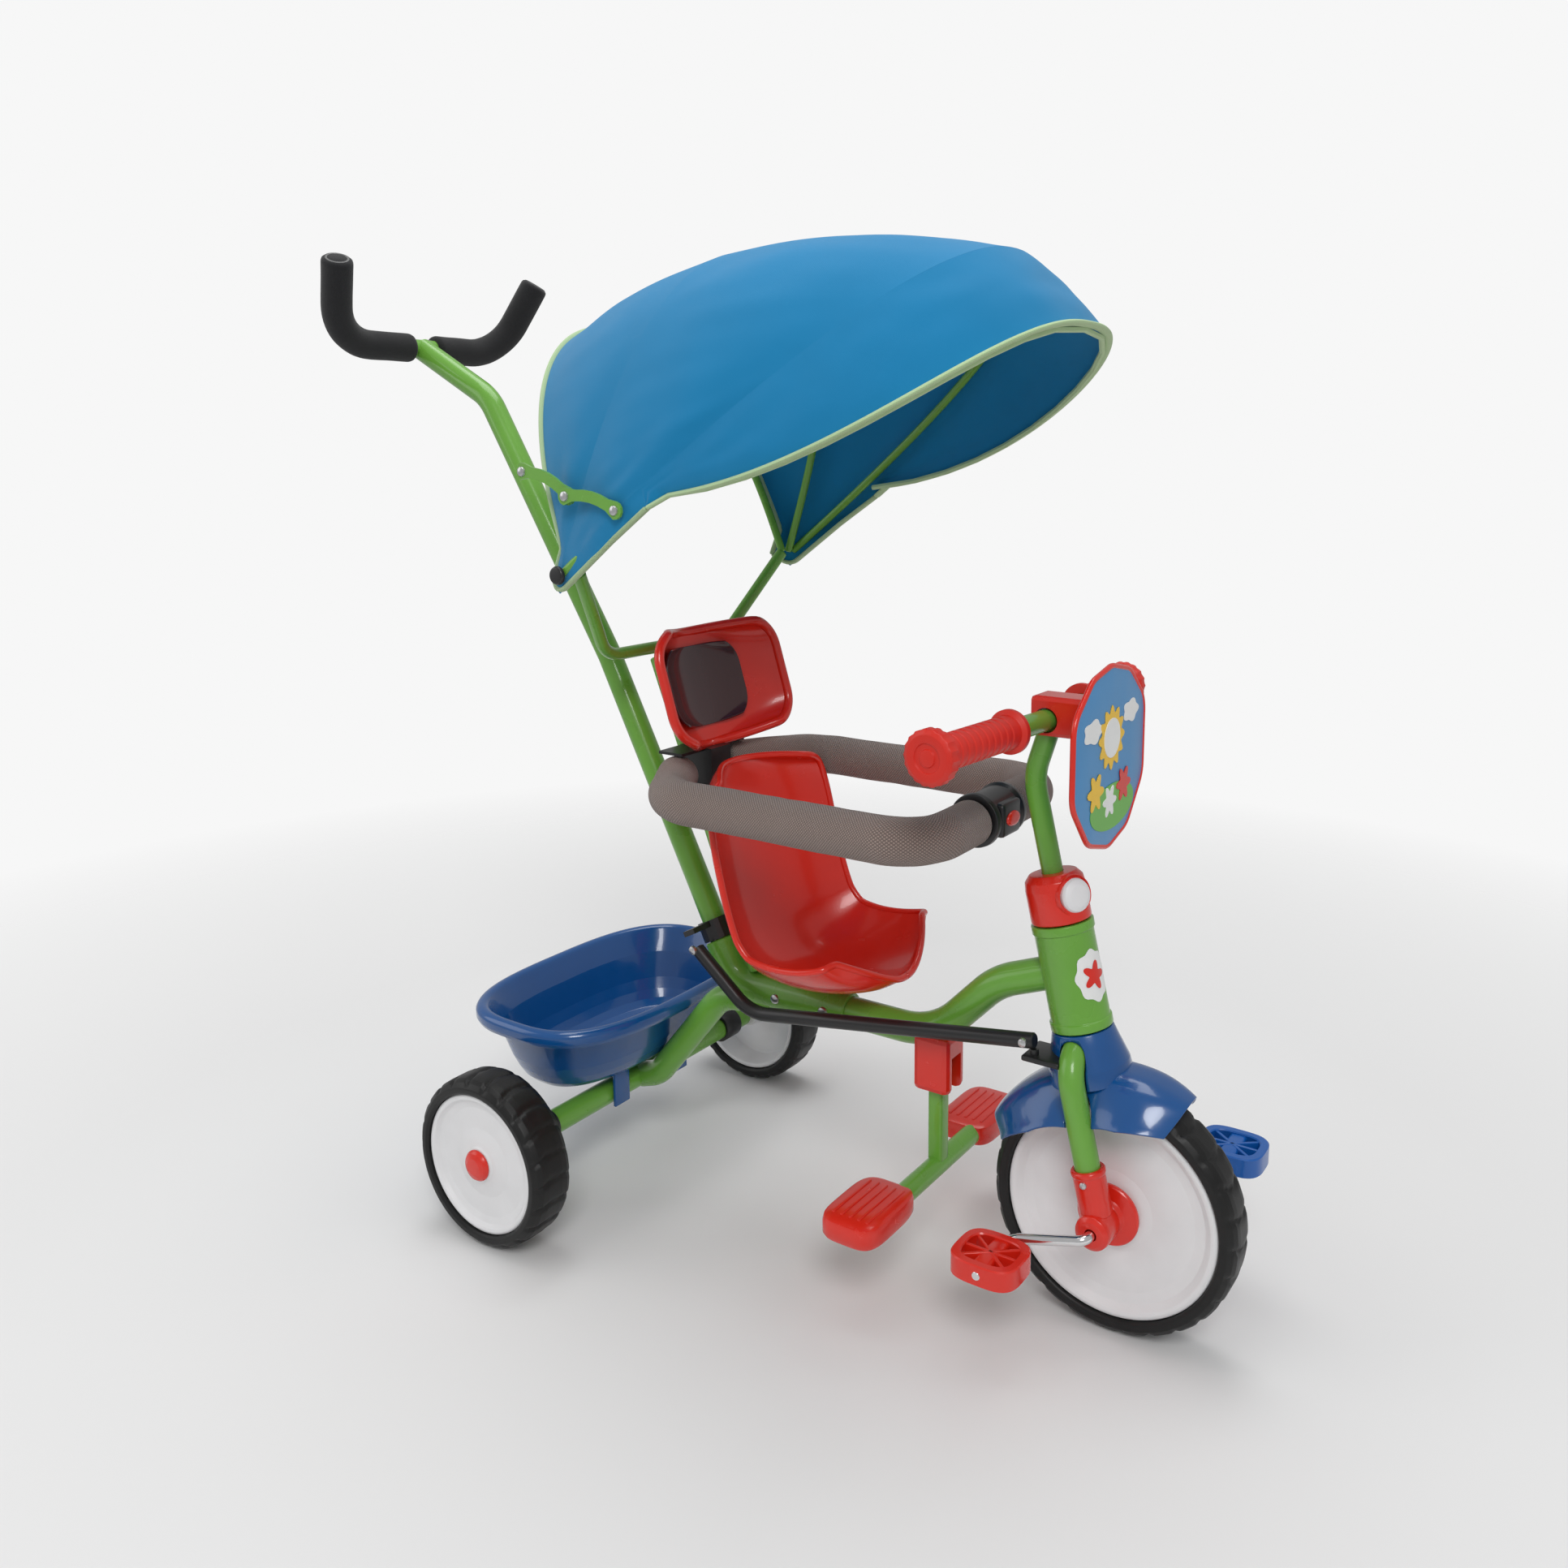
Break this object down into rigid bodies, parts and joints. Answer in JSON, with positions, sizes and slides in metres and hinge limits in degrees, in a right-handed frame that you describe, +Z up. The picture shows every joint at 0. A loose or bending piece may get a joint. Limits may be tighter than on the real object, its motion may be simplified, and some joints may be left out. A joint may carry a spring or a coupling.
{
  "type": "children's tricycle",
  "caption": "Toddler's push-along tricycle with fold-back canopy, opening safety ring, steering push pole, pedals and rear basket.",
  "frame": {"origin": "on the ground, below the centre of the bounding box", "axes": "+X towards the front wheel, +Y to the rider's left, +Z up"},
  "size_m": [1.06, 0.503, 1.0353],
  "materials": {
    "green_paint": "gloss enamel",
    "red_plastic": "gloss",
    "blue_plastic": "gloss",
    "white_plastic": "satin",
    "black_plastic": "satin",
    "black_tyre": "moulded foam",
    "black_foam": "open-cell foam",
    "chrome": "polished",
    "steel": "drawn",
    "canopy_cloth": "woven",
    "ring_cloth": "mesh cloth over foam",
    "back_panel": "gloss",
    "plate_blue": "satin"
  },
  "bodies": {
    "frame": {"head_tube": "green_paint", "main_tube": "green_paint", "rear_tube": "green_paint", "axle_frame": "green_paint", "axle_rod": "steel", "back_column": "green_paint", "ring_bracket": "black_plastic", "seat_shell": "red_plastic", "backrest_shell": "red_plastic", "backrest_panel": "back_panel", "footrest_hanger": "red_plastic", "canopy_u_frame": "green_paint", "rear_bow": "green_paint", "canopy_rear_panel": "canopy_cloth"},
    "steering": {"fork": "green_paint", "front_fender": "blue_plastic", "collar": "red_plastic", "handlebar": "green_paint", "grip_left": "red_plastic", "grip_right": "red_plastic", "front_plate": "plate_blue", "plate_clamp": "red_plastic", "bearing_block_left": "red_plastic", "bearing_block_right": "red_plastic"},
    "collar_button": {"collar_button": "white_plastic"},
    "front_wheel": {"front_tyre": "black_tyre", "front_disc": "white_plastic", "hub_flange_left": "red_plastic", "hub_flange_right": "red_plastic", "crank_axle": "chrome"},
    "pedal_left": {"pedal_left": "blue_plastic"},
    "pedal_right": {"pedal_right": "red_plastic"},
    "rear_wheel_left": {"rear_tyre_left": "black_tyre", "rear_disc_left": "white_plastic", "rear_cap_left": "red_plastic"},
    "rear_wheel_right": {"rear_tyre_right": "black_tyre", "rear_disc_right": "white_plastic", "rear_cap_right": "red_plastic"},
    "push_pole": {"pole": "green_paint", "foam_grip_left": "black_foam", "foam_grip_right": "black_foam", "pole_crank": "black_plastic"},
    "link_rod": {"link_rod": "black_plastic"},
    "canopy_mid": {"mid_bow": "green_paint"},
    "canopy_front": {"front_bow": "green_paint", "brim_wire": "steel", "canopy_mid_panel": "canopy_cloth", "canopy_front_panel": "canopy_cloth"},
    "stay_rear": {"stay_rear_left": "green_paint", "stay_rear_right": "green_paint"},
    "stay_front": {"stay_front_left": "green_paint", "stay_front_right": "green_paint"},
    "ring_left": {"ring_left": "ring_cloth"},
    "ring_right": {"ring_right": "ring_cloth", "ring_buckle": "black_plastic"},
    "buckle_button": {"buckle_button": "red_plastic"},
    "basket": {"basket": "blue_plastic"},
    "footrest": {"footrest_bar": "green_paint", "footrest_pad_left": "red_plastic", "footrest_pad_right": "red_plastic"}
  },
  "joints": [
    {"name": "steering_turn", "type": "hinge", "parent": "frame", "child": "steering", "pos_m": [0.40997, 0, 0.12], "axis": [-0.23, 0, 0.9732], "range_deg": [-25, 25]},
    {"name": "collar_button_press", "type": "slide", "parent": "steering", "child": "collar_button", "axis": [-0.889, 0.4067, -0.2102], "range_m": [0, 0.003], "stiffness_N_per_m": 900, "springref_m": -0.001},
    {"name": "front_wheel_spin", "type": "hinge", "parent": "steering", "child": "front_wheel", "pos_m": [0.40997, 0, 0.12], "axis": [0, 1, 0], "continuous": true},
    {"name": "pedal_left_spin", "type": "hinge", "parent": "front_wheel", "child": "pedal_left", "pos_m": [0.4808, 0.119, 0.13766], "axis": [0, 1, 0], "continuous": true},
    {"name": "pedal_right_spin", "type": "hinge", "parent": "front_wheel", "child": "pedal_right", "pos_m": [0.33914, -0.119, 0.10234], "axis": [0, 1, 0], "continuous": true},
    {"name": "rear_wheel_left_spin", "type": "hinge", "parent": "frame", "child": "rear_wheel_left", "pos_m": [-0.18803, 0.223, 0.0905], "axis": [0, 1, 0], "continuous": true},
    {"name": "rear_wheel_right_spin", "type": "hinge", "parent": "frame", "child": "rear_wheel_right", "pos_m": [-0.18803, -0.223, 0.0905], "axis": [0, 1, 0], "continuous": true},
    {"name": "pole_turn", "type": "hinge", "parent": "frame", "child": "push_pole", "pos_m": [-0.06053, 0, 0.284], "axis": [-0.4551, 0, 0.8905], "range_deg": [-25, 25]},
    {"name": "link_swing", "type": "hinge", "parent": "push_pole", "child": "link_rod", "pos_m": [-0.06403, -0.038, 0.283], "axis": [-0.4551, 0, 0.8905], "range_deg": [-25, 25]},
    {"name": "canopy_fold", "type": "hinge", "parent": "frame", "child": "canopy_mid", "pos_m": [-0.09503, 0, 0.7], "axis": [0, -1, 0], "range_deg": [0, 25], "deforming": ["canopy_rear_panel"]},
    {"name": "canopy_front_fold", "type": "hinge", "parent": "canopy_mid", "child": "canopy_front", "pos_m": [-0.09503, 0, 0.7], "axis": [0, -1, 0], "range_deg": [0, 20], "deforming": ["canopy_mid_panel"]},
    {"name": "stay_rear_turn", "type": "hinge", "parent": "frame", "child": "stay_rear", "pos_m": [-0.13266, 0, 0.79803], "axis": [0, -1, 0], "range_deg": [-38.3, 0]},
    {"name": "stay_front_turn", "type": "hinge", "parent": "canopy_front", "child": "stay_front", "pos_m": [-0.01173, 0, 0.76392], "axis": [0, -1, 0], "range_deg": [0, 38.3]},
    {"name": "ring_left_open", "type": "hinge", "parent": "frame", "child": "ring_left", "pos_m": [-0.08303, 0.041, 0.475], "axis": [0, 0, 1], "range_deg": [0, 60]},
    {"name": "ring_right_open", "type": "hinge", "parent": "frame", "child": "ring_right", "pos_m": [-0.08303, -0.041, 0.475], "axis": [0, 0, -1], "range_deg": [0, 60]},
    {"name": "buckle_press", "type": "slide", "parent": "ring_right", "child": "buckle_button", "axis": [-1, 0, 0], "range_m": [0, 0.003], "stiffness_N_per_m": 900, "springref_m": -0.001},
    {"name": "basket_lift", "type": "slide", "parent": "frame", "child": "basket", "axis": [0, 0, 1], "range_m": [0, 0.06]},
    {"name": "footrest_fold", "type": "hinge", "parent": "frame", "child": "footrest", "pos_m": [0.21697, 0, 0.208], "axis": [0, 1, 0], "range_deg": [0, 80]}
  ],
  "couplings": [
    {"joint": "pole_turn", "follows": "steering_turn", "ratio": 1},
    {"joint": "link_swing", "follows": "steering_turn", "ratio": -1},
    {"joint": "canopy_front_fold", "follows": "canopy_fold", "ratio": 0.8},
    {"joint": "stay_rear_turn", "follows": "canopy_fold", "ratio": -1.5322},
    {"joint": "stay_front_turn", "follows": "canopy_fold", "ratio": 1.5322}
  ]
}
